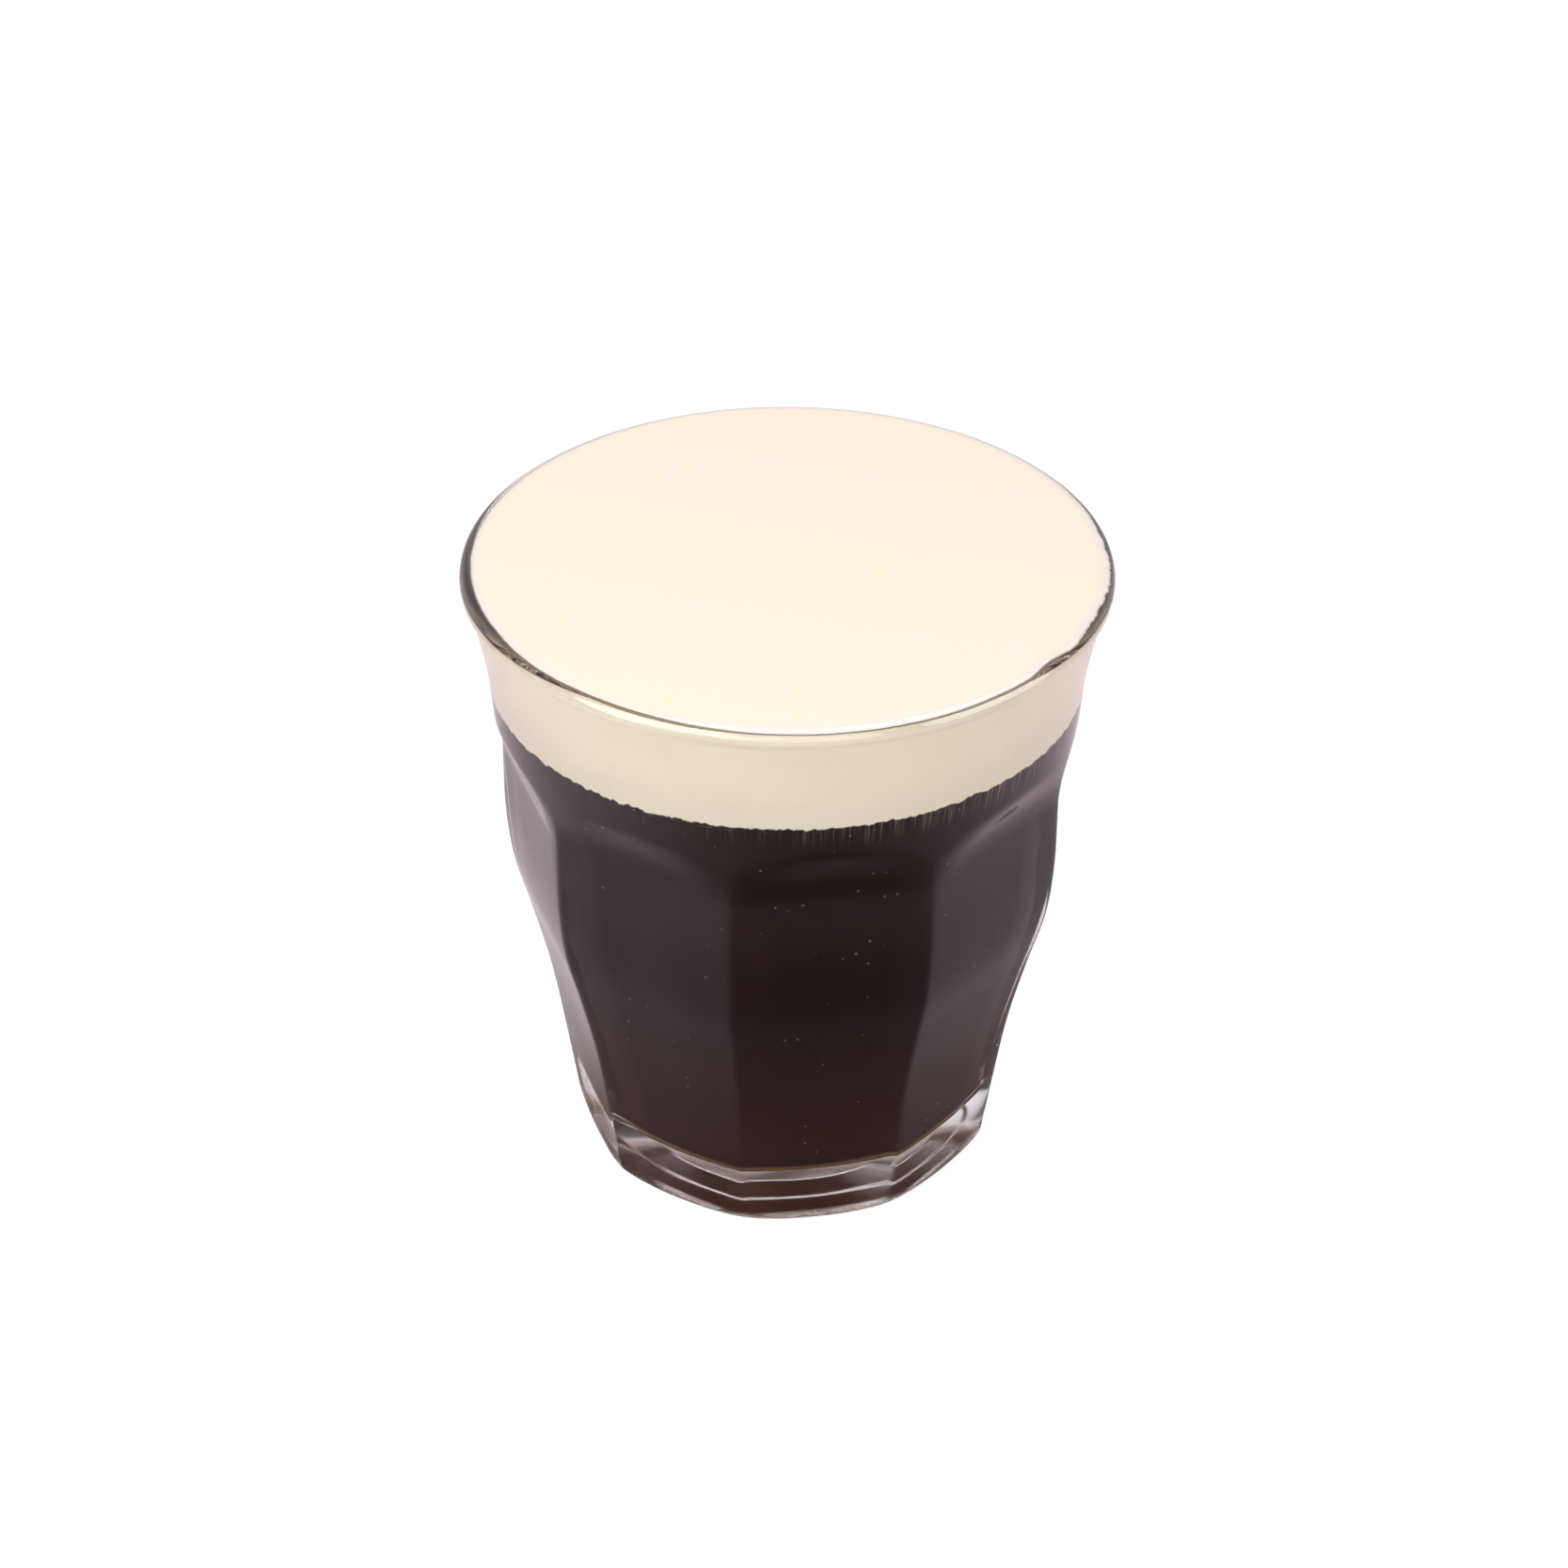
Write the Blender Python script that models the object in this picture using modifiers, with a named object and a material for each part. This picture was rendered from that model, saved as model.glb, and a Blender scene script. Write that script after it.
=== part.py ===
# Irish coffee in its glass: a pressed tumbler with nine flat flutes, black coffee up to a
# level line, and a floating layer of lightly whipped cream that fills the glass to the brim.
# Metres, +Z up. The origin is the centre of the foot, on the surface the glass stands on,
# and one flute faces -Y.

import math

import bmesh
import bpy
from mathutils import Matrix

MM = 0.001

# The tumbler as a whole
HEIGHT = 90.0 * MM
RIM_RADIUS = 43.0 * MM
FLUTES = 9
TURN_STEPS = 72

# Lip: rounded over the brim, widest a little below it, and tucked in again to the neck
LIP_OUTER_REACH = 1.3 * MM
LIP_OUTER_RISE = 1.75 * MM
LIP_INNER_REACH = 0.9 * MM
LIP_INNER_RISE = 1.2 * MM
LIP_TUCK = 0.6 * MM
LIP_TUCK_TURN = -60.0
LIP_STEPS = 4
TUCK_STEPS = 2

# Outside of the turned blank, as (height, radius), from the heel up to the neck of the lip
BLANK_WALL = (
    (3.8 * MM, 29.9 * MM),
    (24.0 * MM, 33.8 * MM),
    (42.0 * MM, 38.3 * MM),
    (50.0 * MM, 39.2 * MM),
    (57.0 * MM, 39.1 * MM),
    (62.9 * MM, 38.85 * MM),
    (66.3 * MM, 39.1 * MM),
    (70.0 * MM, 39.4 * MM),
    (76.4 * MM, 40.0 * MM),
    (83.0 * MM, 41.25 * MM),
    (86.8 * MM, 42.25 * MM),
)
BLANK_STEP = 4.2 * MM

# Heel and foot: the corner under the wall is a quarter of an ellipse. The underside, as
# (radius, height) from its bearing ring in to the axis, steps up to a flat middle.
HEEL_REACH = 4.8 * MM
HEEL_HEIGHT = 3.8 * MM
HEEL_STEPS = 5
UNDERSIDE = (
    (22.0 * MM, 0.0),
    (17.6 * MM, 0.6 * MM),
    (16.6 * MM, 0.6 * MM),
    (11.0 * MM, 1.4 * MM),
    (0.0, 1.4 * MM),
)

# Flutes, as (height, distance from the axis to the middle of the flat). The flute leans out
# from the foot to the shoulder, stands upright, and scoops out through the wall as an arch.
FLUTE_FACE = (
    (-6.0 * MM, 27.2 * MM),
    (0.0 * MM, 27.9 * MM),
    (13.5 * MM, 29.5 * MM),
    (23.7 * MM, 31.0 * MM),
    (33.9 * MM, 33.3 * MM),
    (42.0 * MM, 35.35 * MM),
    (50.0 * MM, 36.2 * MM),
    (60.5 * MM, 36.4 * MM),
    (62.7 * MM, 36.75 * MM),
    (64.6 * MM, 37.3 * MM),
    (66.8 * MM, 38.3 * MM),
    (68.3 * MM, 39.3 * MM),
    (71.5 * MM, 42.0 * MM),
)
SCOOP_HEIGHT = 60.5 * MM
FLUTE_STEP = 2.8 * MM
SCOOP_STEP = 1.1 * MM
CUTTER_REACH = 52.0 * MM
CUTTER_HALF_WIDTH = 20.0 * MM
WELD_DISTANCE = 0.004 * MM

# Inside of the glass, as (height, radius), above a floor with a round corner
FLOOR_HEIGHT = 7.5 * MM
FLOOR_CORNER = 5.0 * MM
CORNER_STEPS = 5
CAVITY_WALL = (
    (12.0 * MM, 25.2 * MM),
    (24.0 * MM, 27.4 * MM),
    (34.0 * MM, 29.7 * MM),
    (42.0 * MM, 31.7 * MM),
    (51.0 * MM, 33.0 * MM),
    (60.0 * MM, 33.9 * MM),
    (68.0 * MM, 35.8 * MM),
    (76.0 * MM, 37.8 * MM),
    (86.0 * MM, 40.1 * MM),
    (88.8 * MM, 40.8 * MM),
)
CAVITY_STEP = 4.6 * MM

# Drink: the coffee and the cream on it keep a hair's breadth of clearance from the glass
# and from each other
CLEARANCE = 0.3 * MM
COFFEE_LEVEL = 72.4 * MM
CREAM_LEVEL = 89.6 * MM
CREAM_EDGE = 0.5 * MM
DRINK_STEP = 5.2 * MM


def smooth_radius(stations, height):
    """Radius at a height, on a smooth curve through (height, radius) stations."""
    last = len(stations) - 1
    index = 0
    while index < last - 1 and height > stations[index + 1][0]:
        index += 1
    (z0, r0), (z1, r1) = stations[index], stations[index + 1]
    span = z1 - z0

    def slope(at):
        low = stations[max(at - 1, 0)]
        high = stations[min(at + 1, last)]
        return (high[1] - low[1]) / (high[0] - low[0])

    t = (height - z0) / span
    start = (2 * t**3 - 3 * t**2 + 1) * r0 + (t**3 - 2 * t**2 + t) * span * slope(index)
    end = (3 * t**2 - 2 * t**3) * r1 + (t**3 - t**2) * span * slope(index + 1)
    return start + end


def wall_points(stations, low, high, step):
    """Points (radius, height) up a smooth wall from one height to another."""
    count = max(1, math.ceil((high - low) / step))
    heights = [low + (high - low) * i / count for i in range(count + 1)]
    return [(smooth_radius(stations, z), z) for z in heights]


def ellipse_points(centre, reach, rise, start_deg, end_deg, steps):
    """Points (radius, height) along part of an ellipse."""
    points = []
    for i in range(steps + 1):
        angle = math.radians(start_deg + (end_deg - start_deg) * i / steps)
        points.append((centre[0] + reach * math.cos(angle), centre[1] + rise * math.sin(angle)))
    return points


def join_runs(*runs):
    """One line of points from several, with no point twice."""
    line = []
    for run in runs:
        for point in run:
            if not line or math.dist(point, line[-1]) > 0.02 * MM:
                line.append(point)
    return line


def make_material(name, colour, roughness, transmission=0.0, ior=1.45):
    """A Principled material with plain values."""
    material = bpy.data.materials.new(name)
    material.use_nodes = True
    shader = material.node_tree.nodes["Principled BSDF"]
    shader.inputs["Base Color"].default_value = (*colour, 1.0)
    shader.inputs["Roughness"].default_value = roughness
    shader.inputs["Metallic"].default_value = 0.0
    shader.inputs["Transmission Weight"].default_value = transmission
    shader.inputs["IOR"].default_value = ior
    return material


def turned(name, profile, collection, material):
    """A turned solid. Its profile starts on the axis and runs down the outside."""
    mesh = bpy.data.meshes.new(name)
    bm = bmesh.new()
    verts = [bm.verts.new((radius, 0.0, height)) for radius, height in profile]
    for lower, upper in zip(verts, verts[1:]):
        bm.edges.new((lower, upper))
    bm.to_mesh(mesh)
    bm.free()
    mesh.materials.append(material)
    solid = bpy.data.objects.new(name, mesh)
    collection.objects.link(solid)
    screw = solid.modifiers.new("turn", "SCREW")
    screw.angle = math.tau
    screw.steps = TURN_STEPS
    screw.render_steps = TURN_STEPS
    screw.use_merge_vertices = True
    screw.merge_threshold = 0.01 * MM
    screw.use_smooth_shade = True
    return solid


def cavity_profile(gap, top):
    """Inside of the glass, or a drink that stays a gap away from it, from the axis up."""
    corner_radius = CAVITY_WALL[0][1] - gap
    corner_height = CAVITY_WALL[0][0]
    corner = ellipse_points(
        (corner_radius - FLOOR_CORNER, corner_height),
        FLOOR_CORNER,
        corner_height - FLOOR_HEIGHT - gap,
        -90.0,
        0.0,
        CORNER_STEPS,
    )
    step = CAVITY_STEP if gap == 0.0 else DRINK_STEP
    wall = [(r - gap, z) for r, z in wall_points(CAVITY_WALL, corner_height, top, step)]
    return join_runs([(0.0, FLOOR_HEIGHT + gap)], corner, wall)


def make_blank(collection, material):
    """The tumbler before its flutes are cut: cavity, lip, wall, heel and pushed-up foot."""
    crown = RIM_RADIUS - LIP_OUTER_REACH
    inner = (crown, HEIGHT - LIP_INNER_RISE)
    outer = (crown, HEIGHT - LIP_OUTER_RISE)
    lip = join_runs(
        ellipse_points(inner, LIP_INNER_REACH, LIP_INNER_RISE, 180.0, 90.0, LIP_STEPS),
        ellipse_points(outer, LIP_OUTER_REACH, LIP_OUTER_RISE, 90.0, 0.0, LIP_STEPS),
        ellipse_points(outer, LIP_OUTER_REACH, LIP_TUCK, 0.0, LIP_TUCK_TURN, TUCK_STEPS),
    )
    low, high = BLANK_WALL[0][0], BLANK_WALL[-1][0]
    wall = wall_points(BLANK_WALL, low, high, BLANK_STEP)
    foot_radius = BLANK_WALL[0][1] - HEEL_REACH
    heel = ellipse_points(
        (foot_radius, HEEL_HEIGHT), HEEL_REACH, HEEL_HEIGHT, 0.0, -90.0, HEEL_STEPS
    )
    cavity = cavity_profile(0.0, CAVITY_WALL[-1][0])
    profile = join_runs(cavity, lip, reversed(wall), heel, UNDERSIDE)
    return turned("glass", profile, collection, material)


def make_flute_mesh(collection):
    """One flute cutter, facing -Y: its outline in the radius and height plane, made thick."""
    low, high = FLUTE_FACE[0][0], FLUTE_FACE[-1][0]
    face = wall_points(FLUTE_FACE, low, SCOOP_HEIGHT, FLUTE_STEP)
    scoop = wall_points(FLUTE_FACE, SCOOP_HEIGHT, high, SCOOP_STEP)
    outline = join_runs(face, scoop, [(CUTTER_REACH, high), (CUTTER_REACH, low)])
    curve = bpy.data.curves.new("flute_outline", "CURVE")
    curve.dimensions = "2D"
    curve.fill_mode = "BOTH"
    curve.extrude = CUTTER_HALF_WIDTH
    spline = curve.splines.new("POLY")
    spline.points.add(len(outline) - 1)
    for point, (radius, height) in zip(spline.points, outline):
        point.co = (radius, height, 0.0, 1.0)
    spline.use_cyclic_u = True
    outline_object = bpy.data.objects.new("flute_outline", curve)
    collection.objects.link(outline_object)
    bpy.context.view_layer.update()
    mesh = bpy.data.meshes.new_from_object(
        outline_object.evaluated_get(bpy.context.evaluated_depsgraph_get())
    )
    bpy.data.objects.remove(outline_object)
    # The outline's own axes: x is the radius, y is the height
    mesh.transform(Matrix(((0, 0, -1, 0), (-1, 0, 0, 0), (0, 1, 0, 0), (0, 0, 0, 1))))
    bm = bmesh.new()
    bm.from_mesh(mesh)
    bmesh.ops.remove_doubles(bm, verts=bm.verts, dist=0.01 * MM)
    bmesh.ops.recalc_face_normals(bm, faces=bm.faces)
    for face in bm.faces:
        face.smooth = True
    bm.to_mesh(mesh)
    bm.free()
    mesh.set_sharp_from_angle(angle=math.radians(30.0))
    return mesh


def cut_flutes(blank, collection):
    """Cut the flutes round the blank, one every ninth of a turn, and weld the ridges."""
    mesh = make_flute_mesh(collection)
    for index in range(FLUTES):
        cutter = bpy.data.objects.new(f"flute_{index + 1}", mesh)
        cutter.rotation_euler.z = math.tau * index / FLUTES
        cutter.hide_render = True
        cutter.display_type = "WIRE"
        collection.objects.link(cutter)
        cut = blank.modifiers.new(cutter.name, "BOOLEAN")
        cut.operation = "DIFFERENCE"
        cut.solver = "EXACT"
        cut.object = cutter
    weld = blank.modifiers.new("weld", "WELD")
    weld.merge_threshold = WELD_DISTANCE


def make_coffee(collection, material):
    """The coffee, from the floor of the glass up to the cream."""
    profile = cavity_profile(CLEARANCE, COFFEE_LEVEL) + [(0.0, COFFEE_LEVEL)]
    return turned("coffee", profile[::-1], collection, material)


def make_cream(collection, material):
    """The layer of cream, from the coffee up to just under the brim."""
    bottom = COFFEE_LEVEL + CLEARANCE
    side = wall_points(CAVITY_WALL, bottom, CREAM_LEVEL - CREAM_EDGE, DRINK_STEP)
    side = [(radius - CLEARANCE, height) for radius, height in side]
    rim = (side[-1][0], CREAM_LEVEL - CREAM_EDGE / 3)
    top = (side[-1][0] - CREAM_EDGE, CREAM_LEVEL)
    profile = [(0.0, bottom)] + side + [rim, top, (0.0, CREAM_LEVEL)]
    return turned("cream", profile[::-1], collection, material)


def main():
    for old in list(bpy.data.objects):
        bpy.data.objects.remove(old)
    drink = bpy.data.collections.new("irish_coffee")
    cutters = bpy.data.collections.new("cutters")
    for collection in (drink, cutters):
        bpy.context.scene.collection.children.link(collection)

    glass_finish = make_material("clear_glass", (0.93, 0.95, 0.94), 0.02, 1.0, 1.52)
    coffee_finish = make_material("black_coffee", (0.020, 0.009, 0.007), 0.08)
    cream_finish = make_material("soft_cream", (0.94, 0.84, 0.68), 0.45)

    glass = make_blank(drink, glass_finish)
    cut_flutes(glass, cutters)
    make_coffee(drink, coffee_finish)
    make_cream(drink, cream_finish)
    bpy.context.view_layer.update()


main()
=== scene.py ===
# %% [markdown]
# # An irish coffee in a fluted tumbler
#
# This lesson dresses a fixed model of an irish coffee: a clear pressed tumbler with nine
# flat flutes, black coffee, and a thick layer of cream up to the brim. The fixed model holds
# the sizes. Everything made here sits where that model says, in metres, with +Z up.

# %% Load the frame
import math
import random

import bpy
from mathutils import Matrix, Vector


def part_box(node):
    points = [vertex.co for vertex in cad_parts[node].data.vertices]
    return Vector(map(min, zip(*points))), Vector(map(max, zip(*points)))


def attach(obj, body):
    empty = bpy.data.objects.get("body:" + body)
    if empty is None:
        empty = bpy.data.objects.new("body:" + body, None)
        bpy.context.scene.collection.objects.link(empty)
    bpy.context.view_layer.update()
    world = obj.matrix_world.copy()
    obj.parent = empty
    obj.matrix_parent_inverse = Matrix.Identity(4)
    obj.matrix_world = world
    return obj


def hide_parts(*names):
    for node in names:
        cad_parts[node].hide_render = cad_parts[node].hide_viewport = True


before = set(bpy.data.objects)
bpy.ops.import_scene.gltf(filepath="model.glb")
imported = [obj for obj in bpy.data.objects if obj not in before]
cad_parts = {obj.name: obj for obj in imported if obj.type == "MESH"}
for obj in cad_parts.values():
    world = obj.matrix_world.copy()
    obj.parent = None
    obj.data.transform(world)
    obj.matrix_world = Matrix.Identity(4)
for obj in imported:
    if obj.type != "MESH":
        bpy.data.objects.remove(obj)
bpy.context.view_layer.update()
MM = 0.001
GLASS_LOW, GLASS_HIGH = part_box("glass")
CREAM_LOW, CREAM_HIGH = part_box("cream")
COFFEE_LOW, COFFEE_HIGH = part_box("coffee")
print("glass from", tuple(GLASS_LOW), "to", tuple(GLASS_HIGH))
print("coffee top", COFFEE_HIGH.z, "cream from", CREAM_LOW.z, "to", CREAM_HIGH.z)

# %% [markdown]
# ## The drawing of the tumbler
#
# A pressed glass is made in a mould, so its shape is a drawing of a few smooth lines. Here
# each line is a short list of stations, pairs of height and radius, and one function draws a
# smooth curve through them. The same stations shape the solids of the fixed model.

# %% Stations of the tumbler
FLUTES = 9
HEIGHT = GLASS_HIGH.z
RIM_RADIUS = GLASS_HIGH.y
LIP_TOP = HEIGHT - 0.15 * MM
LIP_OUTER_REACH = 1.3 * MM
LIP_OUTER_RISE = 1.6 * MM
LIP_TUCK = 0.6 * MM
LIP_INNER_REACH = 0.9 * MM
LIP_INNER_RISE = 1.05 * MM
LIP_CROWN = RIM_RADIUS - LIP_OUTER_REACH
BLANK_WALL = (
    (3.8 * MM, 29.9 * MM),
    (24.0 * MM, 33.8 * MM),
    (42.0 * MM, 38.3 * MM),
    (50.0 * MM, 39.2 * MM),
    (57.0 * MM, 39.1 * MM),
    (62.9 * MM, 38.85 * MM),
    (66.3 * MM, 39.1 * MM),
    (70.0 * MM, 39.4 * MM),
    (76.4 * MM, 40.0 * MM),
    (83.0 * MM, 41.25 * MM),
    (86.8 * MM, 42.25 * MM),
)
FLUTE_FACE = (
    (-6.0 * MM, 27.2 * MM),
    (0.0 * MM, 27.9 * MM),
    (13.5 * MM, 29.5 * MM),
    (23.7 * MM, 31.0 * MM),
    (33.9 * MM, 33.3 * MM),
    (42.0 * MM, 35.35 * MM),
    (50.0 * MM, 36.2 * MM),
    (60.5 * MM, 36.4 * MM),
    (62.7 * MM, 36.75 * MM),
    (64.6 * MM, 37.3 * MM),
    (66.8 * MM, 38.3 * MM),
    (68.3 * MM, 39.3 * MM),
    (71.5 * MM, 42.0 * MM),
)
CAVITY_WALL = (
    (12.0 * MM, 25.2 * MM),
    (24.0 * MM, 27.4 * MM),
    (34.0 * MM, 29.7 * MM),
    (42.0 * MM, 31.7 * MM),
    (51.0 * MM, 33.0 * MM),
    (60.0 * MM, 33.9 * MM),
    (68.0 * MM, 35.8 * MM),
    (76.0 * MM, 37.8 * MM),
    (86.0 * MM, 40.1 * MM),
    (88.8 * MM, 40.8 * MM),
)
FLOOR_HEIGHT = 7.5 * MM
FLOOR_CORNER = 5.0 * MM
HEEL_REACH = 4.8 * MM
HEEL_HEIGHT = 3.8 * MM
# Underside from its bearing ring in to the axis, as (radius, height)
UNDERSIDE = (
    (22.0 * MM, 0.0),
    (17.6 * MM, 0.6 * MM),
    (16.6 * MM, 0.6 * MM),
    (11.0 * MM, 1.4 * MM),
    (0.0, 1.4 * MM),
)
UNDERSIDE_STEP = 0.5 * MM
print(len(BLANK_WALL), "stations up the wall and", len(FLUTE_FACE), "up a flute")

# %% [markdown]
# ## Lines through the stations
#
# A curve through a few stations keeps the drawing short and the wall free of bumps. It is made
# of cubic pieces that share their slope where they meet. A profile is then a list of points,
# pairs of radius and height, joined from the runs for the wall, the lip and the heel.

# %% Curves and runs
TINY = 0.01 * MM


def smooth_radius(stations, height):
    """Radius at a height, on a smooth curve through (height, radius) stations."""
    last = len(stations) - 1
    index = 0
    while index < last - 1 and height > stations[index + 1][0]:
        index += 1
    (z0, r0), (z1, r1) = stations[index], stations[index + 1]
    span = z1 - z0

    def slope(at):
        low = stations[max(at - 1, 0)]
        high = stations[min(at + 1, last)]
        return (high[1] - low[1]) / (high[0] - low[0])

    t = (height - z0) / span
    start = (2 * t**3 - 3 * t**2 + 1) * r0 + (t**3 - 2 * t**2 + t) * span * slope(index)
    end = (3 * t**2 - 2 * t**3) * r1 + (t**3 - t**2) * span * slope(index + 1)
    return start + end


def wall_points(stations, low, high, step):
    """Points (radius, height) up a smooth wall from one height to another."""
    count = max(1, math.ceil((high - low) / step))
    heights = [low + (high - low) * i / count for i in range(count + 1)]
    return [(smooth_radius(stations, z), z) for z in heights]


def ellipse_points(centre, reach, rise, start_deg, end_deg, steps):
    """Points (radius, height) along part of an ellipse."""
    points = []
    for i in range(steps + 1):
        angle = math.radians(start_deg + (end_deg - start_deg) * i / steps)
        points.append((centre[0] + reach * math.cos(angle), centre[1] + rise * math.sin(angle)))
    return points


def join_runs(*runs):
    """One line of points from several, with no point twice."""
    line = []
    for run in runs:
        for point in run:
            if not line or math.dist(point, line[-1]) > TINY:
                line.append(point)
    return line


print("wall at the middle of a flute:", smooth_radius(FLUTE_FACE, 0.05) / MM, "mm")

# %% [markdown]
# ## Turning a shape
#
# A round piece is made as on a lathe. A plane is merged to a single vertex, the vertex is
# extruded along the profile, and the line is spun once round the axis. Spinning leaves a
# double row of vertices where it closes and many at each pole, so doubles are merged before
# the normals are made to agree.

# %% Lathe helpers
WELD_DISTANCE = 0.002 * MM


def deselect_all():
    """Nothing selected and nothing active, in object mode."""
    for thing in bpy.context.selected_objects:
        thing.select_set(False)
    bpy.context.view_layer.objects.active = None


def turn_profile(name, profile, steps):
    """A turned mesh from a profile of (radius, height) points that starts and ends on the axis."""
    deselect_all()
    bpy.ops.mesh.primitive_plane_add(size=MM)
    piece = bpy.context.active_object
    piece.name = name
    piece.data.name = name
    bpy.ops.object.mode_set(mode="EDIT")
    bpy.ops.mesh.select_all(action="SELECT")
    bpy.ops.mesh.merge(type="CENTER")
    radius, height = profile[0]
    bpy.ops.transform.translate(value=(radius, 0.0, height))
    for (r0, z0), (r1, z1) in zip(profile, profile[1:]):
        bpy.ops.mesh.extrude_region_move(
            TRANSFORM_OT_translate={"value": (r1 - r0, 0.0, z1 - z0)}
        )
    bpy.ops.mesh.select_all(action="SELECT")
    bpy.ops.mesh.spin(steps=steps, angle=math.tau, center=(0, 0, 0), axis=(0, 0, 1))
    bpy.ops.mesh.select_all(action="SELECT")
    bpy.ops.mesh.remove_doubles(threshold=WELD_DISTANCE)
    bpy.ops.mesh.normals_make_consistent(inside=False)
    bpy.ops.object.mode_set(mode="OBJECT")
    bpy.ops.object.shade_smooth()
    return piece


print("selected after loading:", len(bpy.context.selected_objects), "pieces of the model")

# %% [markdown]
# ## The inside of the glass
#
# A pressed tumbler is round inside, with a rounded corner at its floor, and the drink has the
# same shape. So one function draws the inside for the glass and for the drink, and the drink
# reaches a fraction of a millimetre further into the wall.

# %% Cavity
WALL_STEP = 1.3 * MM
CORNER_RINGS = 9
FLOOR_RINGS = 6


def cavity_profile(grow, top, step):
    """Inside of the glass from the axis up, or a drink that reaches a little into the wall."""
    corner_height, corner_radius = CAVITY_WALL[0]
    corner_radius += grow
    corner = ellipse_points(
        (corner_radius - FLOOR_CORNER, corner_height),
        FLOOR_CORNER,
        corner_height - FLOOR_HEIGHT + grow,
        -90.0,
        0.0,
        CORNER_RINGS,
    )
    floor = [(corner[0][0] * i / FLOOR_RINGS, corner[0][1]) for i in range(FLOOR_RINGS)]
    wall = [(r + grow, z) for r, z in wall_points(CAVITY_WALL, corner_height, top, step)]
    return join_runs(floor, corner, wall)


cavity = cavity_profile(0.0, CAVITY_WALL[-1][0], WALL_STEP)
print("cavity:", len(cavity), "rings")

# %% [markdown]
# ## The blank
#
# Outside, the line goes from the rounded lip down a flared wall, round the heel, and in under
# the foot, which is pushed up a little so that the glass stands on a ring. The rows lie closer
# where the arches of the flutes come, because clear glass shows every facet of a curved edge.

# %% Blank of the tumbler
TURN_STEPS = 378
ARCH_STEP = 0.5 * MM
ARCH_LOW, ARCH_HIGH = 59.0 * MM, 71.0 * MM
LIP_INNER_RINGS = 8
LIP_OUTER_RINGS = 12
LIP_TUCK_RINGS = 5
LIP_TUCK_TURN = -60
HEEL_RINGS = 12


def blank_profile():
    """Profile of the whole tumbler: cavity, lip, outer wall, heel and pushed-up foot."""
    inner = (LIP_CROWN, LIP_TOP - LIP_INNER_RISE)
    outer = (LIP_CROWN, LIP_TOP - LIP_OUTER_RISE)
    lip = join_runs(
        ellipse_points(inner, LIP_INNER_REACH, LIP_INNER_RISE, 180, 90, LIP_INNER_RINGS),
        ellipse_points(outer, LIP_OUTER_REACH, LIP_OUTER_RISE, 90, 0, LIP_OUTER_RINGS),
        ellipse_points(outer, LIP_OUTER_REACH, LIP_TUCK, 0, LIP_TUCK_TURN, LIP_TUCK_RINGS),
    )
    low, high = BLANK_WALL[0][0], BLANK_WALL[-1][0]
    wall = join_runs(
        wall_points(BLANK_WALL, low, ARCH_LOW, WALL_STEP),
        wall_points(BLANK_WALL, ARCH_LOW, ARCH_HIGH, ARCH_STEP),
        wall_points(BLANK_WALL, ARCH_HIGH, high, WALL_STEP),
    )
    foot_radius = BLANK_WALL[0][1] - HEEL_REACH
    centre = (foot_radius, HEEL_HEIGHT)
    heel = ellipse_points(centre, HEEL_REACH, HEEL_HEIGHT, 0, -90, HEEL_RINGS)
    under = [UNDERSIDE[0]]
    for (r0, z0), (r1, z1) in zip(UNDERSIDE, UNDERSIDE[1:]):
        count = math.ceil((r0 - r1) / UNDERSIDE_STEP)
        for i in range(1, count + 1):
            under.append((r0 + (r1 - r0) * i / count, z0 + (z1 - z0) * i / count))
    return join_runs(cavity, lip, wall[::-1], heel, under)


profile = blank_profile()
tumbler = turn_profile("tumbler", profile, TURN_STEPS)
print("blank:", len(profile), "rings,", len(tumbler.data.vertices), "vertices")

# %% [markdown]
# ## The flutes
#
# The nine flutes could be cut with a Boolean, but a cut leaves long thin faces, and they show
# as streaks in clear glass. So the even grid of the blank is kept, and each vertex of the
# outer wall is pressed in to the face of its flute. Hot glass never fills a sharp corner of
# its mould, so the press rounds every edge a little.

# %% Press the flutes
CROWD = 0.5
RIDGE_ROUND = 0.30 * MM
ARCH_ROUND = 1.2 * MM
HALF_WALL = 0.9 * MM


def soft_min(a, b, width):
    """The smaller of two lengths, rounded where they are nearly equal."""
    mix = max(width - abs(a - b), 0.0) / width
    return min(a, b) - mix * mix * width / 4


def wall_middle(height):
    """A radius between the inner and the outer wall at a height."""
    inner = smooth_radius(CAVITY_WALL, max(height, CAVITY_WALL[0][0]))
    return inner + HALF_WALL


def press_flutes(piece):
    """Move the outer wall in to the flutes, with columns crowded towards the ridges."""
    pitch = math.tau / FLUTES
    moved = 0
    for vertex in piece.data.vertices:
        x, y, z = vertex.co
        radius = math.hypot(x, y)
        if radius < MM:
            continue
        angle = math.atan2(x, -y)
        angle += CROWD / FLUTES * math.sin(FLUTES * angle)
        inside = z > FLOOR_HEIGHT - 0.1 * MM and radius < wall_middle(z)
        if not inside and radius > UNDERSIDE[0][0]:
            turn = abs((angle + pitch / 2) % pitch - pitch / 2)
            face = smooth_radius(FLUTE_FACE, min(z, FLUTE_FACE[-1][0]))
            if z > FLUTE_FACE[-1][0]:
                face += z - FLUTE_FACE[-1][0]
            flat = soft_min(face / math.cos(turn), face / math.cos(pitch - turn), RIDGE_ROUND)
            pressed = soft_min(radius, flat, ARCH_ROUND)
            moved += pressed < radius
            radius = pressed
        vertex.co = (radius * math.sin(angle), -radius * math.cos(angle), z)
    return moved


print("vertices pressed in:", press_flutes(tumbler))

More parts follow.
